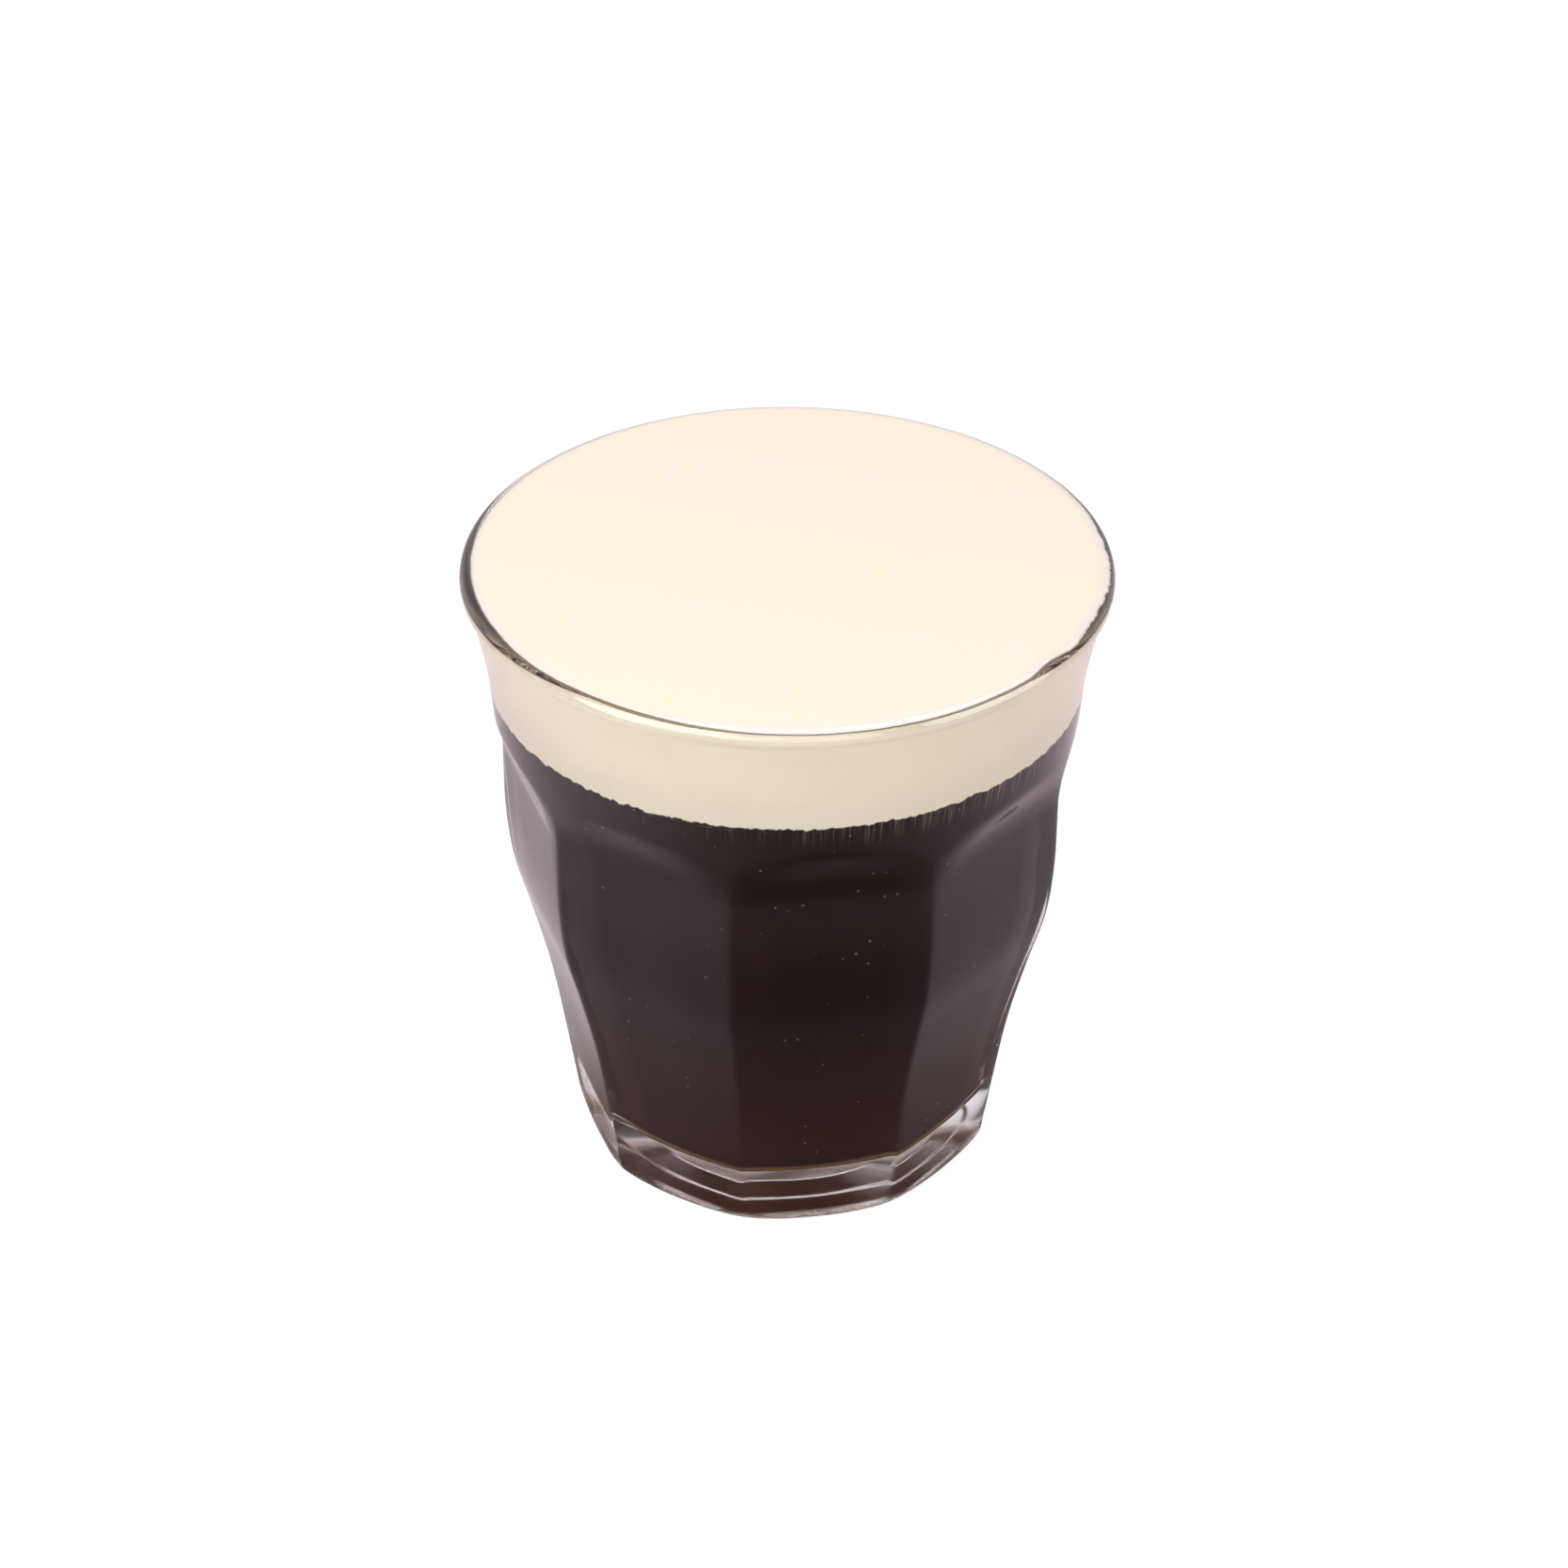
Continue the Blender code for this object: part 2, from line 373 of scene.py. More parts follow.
# %% [markdown]
# ## The line between coffee and cream
#
# The drink fills the glass, and no air shows between them. So the coffee and the cream are
# turned a fraction of a millimetre wider than the inside of the glass. The line where they
# meet is not level on a real glass, so one function gives it all round, and both pieces
# follow it. Chance is drawn here from a fixed seed, so that every run gives the same glass.

# %% Border of the drink
REACH_IN = 0.12 * MM
BORDER_SUNK = 0.45 * MM
BORDER = (COFFEE_HIGH.z + CREAM_LOW.z) / 2 - BORDER_SUNK
BORDER_GAP = 0.02 * MM
BEND_REACH = 3.0 * MM
BEND_POWER = 6
CORNER_ANGLE = math.radians(55.0)
CREAM_STEPS = 1008
# Waves of the border, as (count round the glass, height in millimetres)
WAVE_SIZES = ((2, 0.10), (5, 0.09), (11, 0.07), (23, 0.06), (41, 0.05), (67, 0.05), (97, 0.04))
random.seed(7)
# A tooth for each step round the torn edge of the cream, and a start for each wave
TEETH = [random.uniform(-1.0, 1.0) for _ in range(CREAM_STEPS)]
WAVES = [(count, random.uniform(0, math.tau), size) for count, size in WAVE_SIZES]


def border_height(angle):
    """Height of the line between coffee and cream at an angle round the glass."""
    lift = sum(size * math.sin(count * angle + shift) for count, shift, size in WAVES)
    return BORDER + lift * MM


def bend_border(piece):
    """Bring the rings near the border to the wavy line."""
    for vertex in piece.data.vertices:
        x, y, z = vertex.co
        near = 1.0 - abs(z - BORDER) / BEND_REACH
        if near <= 0.0:
            continue
        edge = min(1.0, math.hypot(x, y) / smooth_radius(CAVITY_WALL, BORDER)) ** BEND_POWER
        vertex.co.z = z + near * edge * (border_height(math.atan2(x, -y)) - BORDER)


def sharpen_corners(piece):
    """Smooth shading that stops at the corners of a drink, so that its sides show no seam."""
    deselect_all()
    piece.select_set(True)
    bpy.context.view_layer.objects.active = piece
    bpy.ops.object.shade_smooth_by_angle(angle=CORNER_ANGLE)


print("border at", round(BORDER / MM, 2), "mm, in front", round(border_height(0.0) / MM, 2), "mm")

# %% [markdown]
# ## The coffee
#
# Black coffee lets almost no light through, so a closed solid with a dark skin stands for it.
# It is turned from the same line as the inside of the glass, with a flat top that the cream
# hides.

# %% Coffee
COFFEE_STEPS = 288
COFFEE_WALL_STEP = 1.2 * MM
COFFEE_TOP_RINGS = 8


def make_coffee():
    """The coffee, with a flat top under the cream."""
    wall = cavity_profile(REACH_IN, BORDER - BORDER_GAP, COFFEE_WALL_STEP)
    top_radius, top_height = wall[-1]
    shares = [1 - i / COFFEE_TOP_RINGS for i in range(1, COFFEE_TOP_RINGS + 1)]
    top = [(top_radius * share, top_height) for share in shares]
    piece = turn_profile("coffee_body", wall + top, COFFEE_STEPS)
    bend_border(piece)
    sharpen_corners(piece)
    return piece


coffee = make_coffee()
print(coffee.name, len(coffee.data.polygons), "faces")

# %% [markdown]
# ## The edge of the cream
#
# The cream is poured to the brim and clings to the lip. It covers the inside of the lip
# behind, and in front it reaches over the crown. Its edge is smooth at the left and torn at
# the right. Three short lists say where the edge lies, how far it wanders, and how wide the
# thin brown line of painted shade along it is.

# %% Edge on the lip
# Where the cream ends on the lip, as (degrees round from the front flute, radius)
CREAM_EDGE = (
    (-180.0, 42.0 * MM),
    (-110.0, 41.6 * MM),
    (-75.0, 41.6 * MM),
    (-60.0, 42.0 * MM),
    (-40.0, 42.35 * MM),
    (-25.0, 42.5 * MM),
    (36.0, 42.55 * MM),
    (42.0, 41.95 * MM),
    (50.0, 42.5 * MM),
    (58.0, 42.1 * MM),
    (76.0, 42.3 * MM),
    (90.0, 42.0 * MM),
    (180.0, 42.0 * MM),
)
# How far that edge wanders, from smooth to torn, in the same degrees
EDGE_TEETH = (
    (-180.0, 0.03 * MM),
    (-60.0, 0.06 * MM),
    (-20.0, 0.02 * MM),
    (45.0, 0.05 * MM),
    (62.0, 0.2 * MM),
    (85.0, 0.22 * MM),
    (115.0, 0.06 * MM),
    (180.0, 0.03 * MM),
)
# Width in millimetres of the thin brown line of painted shade along it
EDGE_SHADE_LINE = (
    (-180.0, 0.1),
    (-65.0, 0.15),
    (-40.0, 0.35),
    (-15.0, 0.1),
    (15.0, 0.1),
    (35.0, 0.2),
    (50.0, 0.1),
    (180.0, 0.1),
)
# Each tooth is half its own draw and half the blend of so many after it
TOOTH_BLEND = 9


def lip_turn(radius):
    """How far over the lip a radius lies, in the degrees of lip_point."""
    reach = LIP_INNER_REACH if radius < LIP_CROWN else LIP_OUTER_REACH
    return math.degrees(math.acos(max(-1.0, min(1.0, (LIP_CROWN - radius) / reach))))


def lip_point(turn, inset):
    """A point of the lip, from 0 degrees on the inside over the crown to 180 outside."""
    cos, sin = math.cos(math.radians(turn)), math.sin(math.radians(turn))
    if turn < 90.0:
        reach, rise = LIP_INNER_REACH, LIP_INNER_RISE
    else:
        reach, rise = LIP_OUTER_REACH, LIP_OUTER_RISE
    return LIP_CROWN - (reach - inset) * cos, LIP_TOP - rise + (rise - inset) * sin


def edge_of_cream(step):
    """At one of the steps round: radius where the cream ends, how far over the lip, painted shade
    line width.
    """
    degrees = 360.0 * step / CREAM_STEPS
    if degrees > 180.0:
        degrees -= 360.0
    blend = sum(TEETH[(step + i) % CREAM_STEPS] for i in range(TOOTH_BLEND))
    tooth = (TEETH[step] + blend / math.sqrt(TOOTH_BLEND)) / 2
    radius = smooth_radius(CREAM_EDGE, degrees) + tooth * smooth_radius(EDGE_TEETH, degrees)
    return radius, lip_turn(radius), smooth_radius(EDGE_SHADE_LINE, degrees)


print("edge in front, in mm:", round(edge_of_cream(0)[0] / MM, 2))

# %% [markdown]
# ## The layer of cream
#
# The side of the layer lies in the wall of the glass, and climbs on to the lip. Its top is
# level but for a thin rounded edge. The mesh keeps two numbers at each vertex for the
# finishes: how far it lies in from the edge, in millimetres, and the same in widths of the
# brown line of painted shade.

# %% Cream
CREAM_TOP = HEIGHT - 0.02 * MM
CREAM_CLIMB = 0.2 * MM
EDGE_SUNK = 0.03 * MM
# At the left and right the line of painted shade grows by this many widths
SIDE_SHADE_LINE = 3.0
CREAM_WALL_STEP = 1.4 * MM
BOTTOM_RINGS = 4
CLIMB_RINGS = 9
CLIMB_STEP = 0.1 * MM
TOP_RINGS = 26
TOP_CROWD = 2.6


def shape_cream(piece, low, flat):
    """Lay the cream against the lip up to its edge, and round its surface down to that edge."""
    edges = [edge_of_cream(step) for step in range(CREAM_STEPS)]
    inward = piece.data.attributes.new("inward", "FLOAT", "POINT")
    # Distance from the edge in widths of the line of painted shade
    line = piece.data.attributes.new("line", "FLOAT", "POINT")
    rim = CAVITY_WALL[-1][1] + REACH_IN
    for vertex in piece.data.vertices:
        x, y, z = vertex.co
        if z < low + TINY:
            inward.data[vertex.index].value = rim / MM
            line.data[vertex.index].value = rim / MM
            continue
        radius, angle = math.hypot(x, y), math.atan2(x, -y)
        edge, over, width = edges[round(angle / math.tau * CREAM_STEPS) % CREAM_STEPS]
        if z < flat - TINY or radius > rim - TINY:
            share = (z - low) / (flat - low)
            radius, height = lip_point(over * share, REACH_IN + (EDGE_SUNK - REACH_IN) * share)
            width *= 1 + SIDE_SHADE_LINE * math.sin(angle) ** 2
        else:
            radius = edge * radius / rim
            _, edge_height = lip_point(over, EDGE_SUNK)
            height = CREAM_TOP + (edge_height - CREAM_TOP) * math.exp((radius - edge) / CREAM_CLIMB)
        vertex.co = (radius * math.sin(angle), -radius * math.cos(angle), height)
        inward.data[vertex.index].value = (edge - radius) / MM
        line.data[vertex.index].value = (edge - radius) / MM / width


def make_cream():
    """The cream: up the side of the glass, on to the lip, and over its top to the middle."""
    start, low = BORDER + BORDER_GAP, CAVITY_WALL[-1][0]
    wall = wall_points(CAVITY_WALL, start, low, CREAM_WALL_STEP)
    side = [(r + REACH_IN, z) for r, z in wall]
    bottom = [(side[0][0] * i / BOTTOM_RINGS, start) for i in range(BOTTOM_RINGS)]
    rim = side[-1][0]
    climb = [(rim, low + CLIMB_STEP * i) for i in range(1, CLIMB_RINGS + 1)]
    flat = climb[-1][1]
    top = [(rim * (1 - (i / TOP_RINGS) ** TOP_CROWD), flat) for i in range(1, TOP_RINGS)]
    profile = join_runs(bottom, side, climb) + top + [(0.0, flat)]
    piece = turn_profile("cream_layer", profile, CREAM_STEPS)
    bend_border(piece)
    for face in piece.data.polygons:
        lowest = min(piece.data.vertices[i].co.z for i in face.vertices)
        face.material_index = 0 if lowest > flat - TINY else 1
    shape_cream(piece, low, flat)
    sharpen_corners(piece)
    return piece


cream = make_cream()
print(cream.name, len(cream.data.polygons), "faces")

# %% [markdown]
# ## Helpers for the finishes
#
# A finish is a small tree of nodes. These helpers add a node, a sum, a soft step or a mix of
# two colours in one line each, so that a finish reads like a recipe.

# %% Node helpers
def new_material(name):
    """A node material with its Principled shader."""
    material = bpy.data.materials.new(name)
    material.use_nodes = True
    return material, material.node_tree.nodes["Principled BSDF"]


def add_node(tree, kind, **settings):
    """A node with its settings."""
    node = tree.nodes.new(kind)
    for key, value in settings.items():
        setattr(node, key, value)
    return node


def math_node(tree, operation, first, second=None, third=None):
    """A Math node whose inputs are sockets or numbers, and its output."""
    node = add_node(tree, "ShaderNodeMath", operation=operation)
    for socket, value in zip(node.inputs, (first, second, third)):
        if isinstance(value, (int, float)):
            socket.default_value = value
        elif value is not None:
            tree.links.new(value, socket)
    return node.outputs[0]


def ramp(tree, value, start, end, low=0.0, high=1.0):
    """A soft step from low to high while a value goes from start to end."""
    node = add_node(tree, "ShaderNodeMapRange", interpolation_type="SMOOTHSTEP")
    node.inputs["From Min"].default_value = start
    node.inputs["From Max"].default_value = end
    node.inputs["To Min"].default_value = low
    node.inputs["To Max"].default_value = high
    tree.links.new(value, node.inputs["Value"])
    return node.outputs["Result"]


def mix_colour(tree, factor, first, second):
    """Two colours, sockets or numbers, mixed by a mask."""
    node = add_node(tree, "ShaderNodeMix", data_type="RGBA")
    tree.links.new(factor, node.inputs["Factor"])
    for name, value in (("A", first), ("B", second)):
        socket = next(s for s in node.inputs if s.name == name and s.type == "RGBA")
        if isinstance(value, tuple):
            socket.default_value = (*value, 1.0)
        else:
            tree.links.new(value, socket)
    return next(s for s in node.outputs if s.type == "RGBA")


print("materials before the finishes:", len(bpy.data.materials))

# %% [markdown]
# ## Where on the glass
#
# Most finishes change with the place on the glass: browner low down, more torn at one side. A
# node group works the place out once, in millimetres, from Object coordinates, and the
# finishes share it.

# %% Group: place on the glass
CREAM_FULL_SIDE = math.radians(50.0)


def make_place_group():
    """Node group: radius and height in millimetres, and 0 to 1 for facing the full side."""
    group = bpy.data.node_groups.new("place_on_glass", "ShaderNodeTree")
    for name in ("Radius", "Height", "Full Side"):
        group.interface.new_socket(name, in_out="OUTPUT", socket_type="NodeSocketFloat")
    end = group.nodes.new("NodeGroupOutput")
    place = group.nodes.new("ShaderNodeTexCoord").outputs["Object"]
    split = group.nodes.new("ShaderNodeSeparateXYZ")
    group.links.new(place, split.inputs[0])
    x, y, z = split.outputs
    square_x = math_node(group, "MULTIPLY", x, x)
    square_y = math_node(group, "MULTIPLY", y, y)
    radius = math_node(group, "SQRT", math_node(group, "ADD", square_x, square_y))
    toward = add_node(group, "ShaderNodeVectorMath", operation="DOT_PRODUCT")
    toward.inputs[1].default_value = (math.sin(CREAM_FULL_SIDE), -math.cos(CREAM_FULL_SIDE), 0.0)
    group.links.new(place, toward.inputs[0])
    facing = math_node(group, "DIVIDE", toward.outputs["Value"], radius)
    group.links.new(math_node(group, "MULTIPLY", radius, 1 / MM), end.inputs["Radius"])
    group.links.new(math_node(group, "MULTIPLY", z, 1 / MM), end.inputs["Height"])
    facing = math_node(group, "MULTIPLY_ADD", facing, 0.5, 0.5)
    group.links.new(facing, end.inputs["Full Side"])
    return group


PLACE_GROUP = make_place_group()
print("group", PLACE_GROUP.name)

# %% [markdown]
# ## Streaks of cream on glass
#
# Cream leaves fine streaks round the glass where it has run. Noise that is stretched along a
# ring gives them. It is read in radius and height, so it has no seam. They are bumps on the
# side of the cream, and paler streaks of painted reflection where the wet wall mirrors.

# %% Group: streaks
STREAKS_PER_MM = 8.0
STREAK_DRIFT = 90.0


def make_streak_group():
    """Node group: fine streaks that run round the glass, without a seam."""
    group = bpy.data.node_groups.new("streaks_round_glass", "ShaderNodeTree")
    group.interface.new_socket("Streaks", in_out="OUTPUT", socket_type="NodeSocketFloat")
    end = group.nodes.new("NodeGroupOutput")
    where = add_node(group, "ShaderNodeGroup", node_tree=PLACE_GROUP)
    place = group.nodes.new("ShaderNodeTexCoord").outputs["Object"]
    slow = add_node(group, "ShaderNodeVectorMath", operation="SCALE")
    slow.inputs["Scale"].default_value = STREAK_DRIFT
    group.links.new(place, slow.inputs[0])
    across = add_node(group, "ShaderNodeCombineXYZ")
    for name, axis in (("Radius", "X"), ("Height", "Y")):
        fine = math_node(group, "MULTIPLY", where.outputs[name], STREAKS_PER_MM)
        group.links.new(fine, across.inputs[axis])
    total = add_node(group, "ShaderNodeVectorMath", operation="ADD")
    group.links.new(slow.outputs["Vector"], total.inputs[0])
    group.links.new(across.outputs["Vector"], total.inputs[1])
    noise = add_node(group, "ShaderNodeTexNoise")
    noise.inputs["Scale"].default_value = 1.0
    noise.inputs["Detail"].default_value = 2.0
    group.links.new(total.outputs["Vector"], noise.inputs["Vector"])
    group.links.new(noise.outputs["Fac"], end.inputs["Streaks"])
    return group


STREAK_GROUP = make_streak_group()
print("group", STREAK_GROUP.name)

# %% [markdown]
# ## The ragged border
#
# Cream doesn't end in a clean line on coffee: its border is torn in small steps, and thin
# hairs of it hang down the glass, most of them at the fuller side. Modelling hairs would cost
# many faces for something flat, so a node group paints both, and the drinks share it.

# %% Group: ragged border
EDGE_GRAIN = (34.0, 34.0, 60.0)
EDGE_RISE = 0.4
EDGE_WANDER = 1.5
HAIR_GRAIN = (160.0, 160.0, 80.0)
HAIR_LENGTH = 4.2
TUFT_GRAIN = (26.0, 26.0, 100.0)
HAIR_STEP = (0.45, 0.75)
TUFT_STEP = (0.28, 0.56)
TORN_SIDE = (0.72, 0.97)
TORN_SHARES = (0.1, 0.62)


def noise_round_glass(group, grain, detail):
    """Noise with so many cells a turn of one radian across, and so many a metre up."""
    place = group.nodes.new("ShaderNodeTexCoord").outputs["Object"]
    split = group.nodes.new("ShaderNodeSeparateXYZ")
    group.links.new(place, split.inputs[0])
    flat = add_node(group, "ShaderNodeCombineXYZ")
    group.links.new(split.outputs["X"], flat.inputs["X"])
    group.links.new(split.outputs["Y"], flat.inputs["Y"])
    turn = add_node(group, "ShaderNodeVectorMath", operation="NORMALIZE")
    group.links.new(flat.outputs["Vector"], turn.inputs[0])
    lift = add_node(group, "ShaderNodeCombineXYZ")
    group.links.new(split.outputs["Z"], lift.inputs["Z"])
    total = add_node(group, "ShaderNodeVectorMath", operation="ADD")
    group.links.new(turn.outputs["Vector"], total.inputs[0])
    group.links.new(lift.outputs["Vector"], total.inputs[1])
    stretch = add_node(group, "ShaderNodeVectorMath", operation="MULTIPLY")
    stretch.inputs[1].default_value = grain
    group.links.new(total.outputs["Vector"], stretch.inputs[0])
    noise = add_node(group, "ShaderNodeTexNoise")
    noise.inputs["Scale"].default_value = 1.0
    noise.inputs["Detail"].default_value = detail
    group.links.new(stretch.outputs["Vector"], noise.inputs["Vector"])
    return noise.outputs["Fac"]


def make_border_group():
    """Node group: how far above the ragged border a spot is, and the hairs that hang from it."""
    group = bpy.data.node_groups.new("ragged_border", "ShaderNodeTree")
    for name in ("Above", "Hairs"):
        group.interface.new_socket(name, in_out="OUTPUT", socket_type="NodeSocketFloat")
    end = group.nodes.new("NodeGroupOutput")
    where = add_node(group, "ShaderNodeGroup", node_tree=PLACE_GROUP)
    wander = math_node(group, "SUBTRACT", noise_round_glass(group, EDGE_GRAIN, 3.0), 0.5)
    wander = math_node(group, "MULTIPLY", wander, EDGE_WANDER)
    height = math_node(group, "SUBTRACT", where.outputs["Height"], BORDER / MM + EDGE_RISE)
    above = math_node(group, "SUBTRACT", height, wander)
    group.links.new(above, end.inputs["Above"])
    hairs = ramp(group, noise_round_glass(group, HAIR_GRAIN, 1.0), *HAIR_STEP)
    tufts = ramp(group, noise_round_glass(group, TUFT_GRAIN, 1.0), *TUFT_STEP)
    hairs = math_node(group, "MULTIPLY", hairs, tufts)
    fading = ramp(group, above, -HAIR_LENGTH, 0.2)
    torn = ramp(group, where.outputs["Full Side"], *TORN_SIDE, *TORN_SHARES)
    hairs = math_node(group, "MULTIPLY", hairs, math_node(group, "MULTIPLY", fading, torn))
    group.links.new(hairs, end.inputs["Hairs"])
    return group


BORDER_GROUP = make_border_group()
print("group", BORDER_GROUP.name)

# %% [markdown]
# ## Specks
#
# A few tiny bubbles stand in the coffee, and a few yellow flecks of fat on the cream. Both are
# round spots in some cells of a Voronoi pattern, of all sizes up to a limit.

# %% Group: specks
def make_specks_group():
    """Node group: a few round specks, by cells a metre and by their size as a part of a cell."""
    group = bpy.data.node_groups.new("round_specks", "ShaderNodeTree")
    group.interface.new_socket("Vector", in_out="INPUT", socket_type="NodeSocketVector")
    for name in ("Cells", "Size", "Share"):
        group.interface.new_socket(name, in_out="INPUT", socket_type="NodeSocketFloat")
    group.interface.new_socket("Specks", in_out="OUTPUT", socket_type="NodeSocketFloat")
    start = group.nodes.new("NodeGroupInput")
    end = group.nodes.new("NodeGroupOutput")
    cells = add_node(group, "ShaderNodeTexVoronoi", voronoi_dimensions="2D")
    group.links.new(start.outputs["Vector"], cells.inputs["Vector"])
    group.links.new(start.outputs["Cells"], cells.inputs["Scale"])
    lot = add_node(group, "ShaderNodeSeparateXYZ")
    group.links.new(cells.outputs["Color"], lot.inputs[0])
    size = math_node(group, "MULTIPLY", start.outputs["Size"], lot.outputs["Y"])
    near = math_node(group, "DIVIDE", cells.outputs["Distance"], size)
    kept = math_node(group, "LESS_THAN", lot.outputs["X"], start.outputs["Share"])
    spots = math_node(group, "MULTIPLY", ramp(group, near, 0.4, 1.0, 1.0, 0.0), kept)
    group.links.new(spots, end.inputs["Specks"])
    return group


SPECKS_GROUP = make_specks_group()


def specks(tree, place, cells, size, share):
    """Specks on a flat place: cells a metre, size as a part of a cell, share of cells with one."""
    node = add_node(tree, "ShaderNodeGroup", node_tree=SPECKS_GROUP)
    tree.links.new(place, node.inputs["Vector"])
    for name, value in (("Cells", cells), ("Size", size), ("Share", share)):
        node.inputs[name].default_value = value
    return node.outputs["Specks"]


print("group", SPECKS_GROUP.name)

# %% [markdown]
# ## Clear glass
#
# Clear glass is all transmission, with an index of 1.52. The mould leaves it a little wavy, and
# a faint bump is enough for that. The foot is worn by many tables: it is frosted below. The
# curve of the heel is tinted brown in grainy patches.

# %% Clear glass
GLASS_IOR = 1.52
CLEAR = (0.985, 0.99, 0.985)
FOOT_FROST = 0.16
# Brown tint in grainy patches on the curve of the heel
HEEL_BROWN = (0.20, 0.135, 0.085)
HEEL_BROWN_GRAIN = 2200.0
HEEL_BROWN_STEP = (0.25, 0.6)
MOULD_WAVE = 0.03 * MM
MOULD_GRAIN = 110.0
# Where the foot is frosted and tinted brown, as (start, end) in millimetres
FROST_HEIGHT = (0.9, 2.2)
HEEL_BROWN_RADIUS = (25.5, 26.5)
HEEL_BROWN_HEIGHT = (1.6, 3.4)


def make_glass_finish():
    """Smooth clear glass, a little wavy from its mould, and frosted by wear under the foot."""
    material, shader = new_material("clear_glass")
    tree = material.node_tree
    shader.inputs["IOR"].default_value = GLASS_IOR
    shader.inputs["Transmission Weight"].default_value = 1.0
    where = add_node(tree, "ShaderNodeGroup", node_tree=PLACE_GROUP)
    worn = ramp(tree, where.outputs["Height"], *FROST_HEIGHT, FOOT_FROST, 0.0)
    tree.links.new(worn, shader.inputs["Roughness"])
    grain = add_node(tree, "ShaderNodeTexNoise")
    grain.inputs["Scale"].default_value = HEEL_BROWN_GRAIN
    tree.links.new(tree.nodes.new("ShaderNodeTexCoord").outputs["Object"], grain.inputs["Vector"])
    outside = ramp(tree, where.outputs["Radius"], *HEEL_BROWN_RADIUS)
    low = ramp(tree, where.outputs["Height"], *HEEL_BROWN_HEIGHT, 1.0, 0.0)
    heel_brown = math_node(tree, "MULTIPLY", ramp(tree, grain.outputs["Fac"], *HEEL_BROWN_STEP), outside)
    heel_brown = math_node(tree, "MULTIPLY", heel_brown, low)
    tree.links.new(mix_colour(tree, heel_brown, CLEAR, HEEL_BROWN), shader.inputs["Base Color"])
    waves = add_node(tree, "ShaderNodeTexNoise")
    waves.inputs["Scale"].default_value = MOULD_GRAIN
    waves.inputs["Detail"].default_value = 1.0
    tree.links.new(tree.nodes.new("ShaderNodeTexCoord").outputs["Object"], waves.inputs["Vector"])
    bump = add_node(tree, "ShaderNodeBump")
    bump.inputs["Strength"].default_value = 1.0
    bump.inputs["Distance"].default_value = MOULD_WAVE
    tree.links.new(waves.outputs["Fac"], bump.inputs["Height"])
    tree.links.new(bump.outputs["Normal"], shader.inputs["Normal"])
    return material


tumbler.data.materials.append(make_glass_finish())
print("finish", tumbler.data.materials[0].name)

# %% [markdown]
# ## Black coffee
#
# The drink wets the glass, so light goes from glass straight into liquid, and the step in
# index there is 1.34 to 1.52, or 0.88. With that index the side of the drink has no gloss when
# seen straight on, and mirrors completely at a grazing angle. The coffee is painted browner low
# down and golden at the corner of the floor, where it is thinnest: both are a painted glow of
# light in the coffee.

# %% Coffee finish
WET_IOR = 0.88
COFFEE_BLACK = (0.014, 0.0062, 0.0065)
# The brown and golden colours are a painted glow of light in the coffee
COFFEE_GLOW_BROWN = (0.034, 0.0105, 0.0085)
COFFEE_GLOW_GOLD = (0.17, 0.055, 0.038)
COFFEE_HAIR = (0.34, 0.245, 0.22)
COFFEE_SPECK = (0.13, 0.105, 0.10)
# Heights in millimetres where the painted brown glow fades to black, and the painted gold to brown
BROWN_GLOW_HEIGHT = (9.0, 40.0)
GOLD_GLOW_HEIGHT = (7.6, 8.6)
# Cells a metre, size and share
BUBBLES = (560.0, 0.14, 0.10)


def make_coffee_finish():
    """Near black, with a painted glow: browner low down and golden at the corner of the floor."""
    material, shader = new_material("black_coffee")
    tree = material.node_tree
    where = add_node(tree, "ShaderNodeGroup", node_tree=PLACE_GROUP)
    # A painted glow, browner low down and golden at the corner of the floor
    deep = ramp(tree, where.outputs["Height"], *BROWN_GLOW_HEIGHT)
    side = mix_colour(tree, deep, COFFEE_GLOW_BROWN, COFFEE_BLACK)
    thin = ramp(tree, where.outputs["Height"], *GOLD_GLOW_HEIGHT)
    colour = mix_colour(tree, thin, COFFEE_GLOW_GOLD, side)
    upright = add_node(tree, "ShaderNodeMapping")
    upright.inputs["Rotation"].default_value = (math.radians(-90.0), 0.0, 0.0)
    tree.links.new(tree.nodes.new("ShaderNodeTexCoord").outputs["Object"], upright.inputs["Vector"])
    bubbles = specks(tree, upright.outputs["Vector"], *BUBBLES)
    colour = mix_colour(tree, bubbles, colour, COFFEE_SPECK)
    border = add_node(tree, "ShaderNodeGroup", node_tree=BORDER_GROUP)
    colour = mix_colour(tree, border.outputs["Hairs"], colour, COFFEE_HAIR)
    tree.links.new(colour, shader.inputs["Base Color"])
    shader.inputs["Roughness"].default_value = 0.05
    shader.inputs["IOR"].default_value = WET_IOR
    return material


coffee.data.materials.append(make_coffee_finish())
print("finish", coffee.data.materials[0].name)

# %% [markdown]
# ## The top of the cream
#
# Lightly whipped cream is smooth and warm in colour, and its top is painted a little darker
# than that to hold back its strong light. Along its edge a cooler band is a painted sheen, a
# greyer band at the very edge is painted shade, and a brown line of painted shade lies on the
# glass. The numbers that the mesh keeps at its vertices say where that is.

# %% Cream finish
CREAM_IOR = 1.35
# Painted a little darker than the cream's own colour, to hold back the strong light on the top
CREAM = (0.845, 0.74, 0.59)
# A cooler band along the edge is a painted sheen
CREAM_PAINTED_SHEEN = (0.735, 0.68, 0.615)
# A greyer band at the very edge is painted shade
CREAM_EDGE_SHADE = (0.50, 0.465, 0.45)
